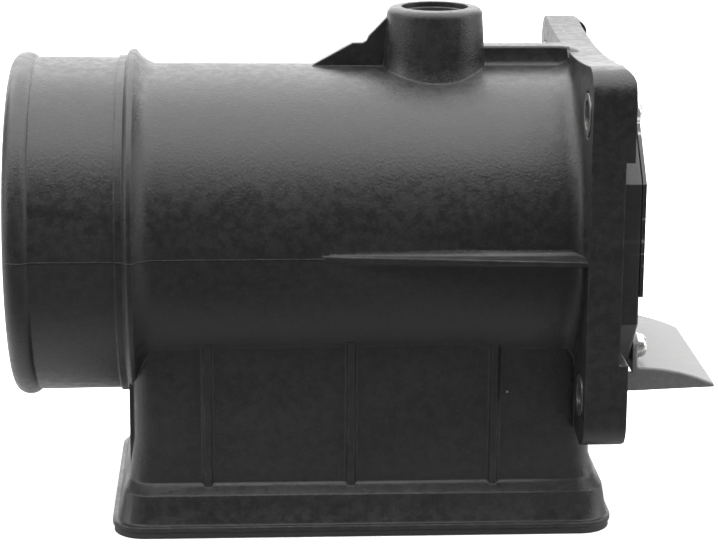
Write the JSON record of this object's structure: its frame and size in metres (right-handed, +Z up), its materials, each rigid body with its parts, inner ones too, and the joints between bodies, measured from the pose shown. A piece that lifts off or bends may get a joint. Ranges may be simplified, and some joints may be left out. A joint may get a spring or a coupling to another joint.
{
  "type": "mass airflow sensor",
  "caption": "Air flow sensor with a beaded hose outlet, a bolted square inlet flange, a flow straightener behind an inlet frame, and a sealed electronics box below.",
  "frame": {"origin": "centre of the inlet flange's mounting face, on the duct axis", "axes": "+X along the duct out of the inlet, towards the air cleaner; +Y towards the connector; +Z up, away from the electronics box"},
  "size_m": [0.1666, 0.0955, 0.1208],
  "materials": {
    "housing": "moulded, satin",
    "cover_plastic": "moulded, satin",
    "frame_plastic": "moulded, matt",
    "core_plastic": "moulded, matt",
    "retainer_paint": "black passivated sheet",
    "zinc_steel": "zinc plated",
    "sleeve_steel": "turned",
    "deflector_metal": "blasted, pale grey",
    "passage_plastic": "moulded, matt",
    "probe_plastic": "moulded, matt",
    "bead_glass": "clear",
    "brass": "turned",
    "seal_rubber": "moulded",
    "plug_metal": "pressed, dull",
    "board": "solder resist",
    "chip_plastic": "moulded",
    "can_metal": "sleeved can",
    "terminal_metal": "tin plated",
    "sealant": "cured bead"
  },
  "bodies": {
    "root": {"sensor_body": "housing", "flange_sleeves": "sleeve_steel", "inlet_frame": "frame_plastic", "honeycomb": "core_plastic", "retainer_plate": "retainer_paint", "retainer_screws": "zinc_steel", "air_deflector": "deflector_metal", "deflector_washers": "zinc_steel", "deflector_screws": "zinc_steel", "measuring_duct": "passage_plastic", "vortex_column": "passage_plastic", "amplifying_plate": "passage_plastic", "pressure_tubes": "seal_rubber", "temperature_probe": "probe_plastic", "thermistor": "bead_glass", "bypass_screw": "brass", "bypass_seal": "seal_rubber", "bypass_plug": "plug_metal", "circuit_board": "board", "board_screws": "zinc_steel", "pressure_transducer": "chip_plastic", "barometric_sensor": "can_metal", "signal_chips": "chip_plastic", "capacitors": "can_metal", "connector_terminals": "terminal_metal", "bottom_cover": "cover_plastic", "cover_sealant": "sealant"}
  },
  "joints": []
}
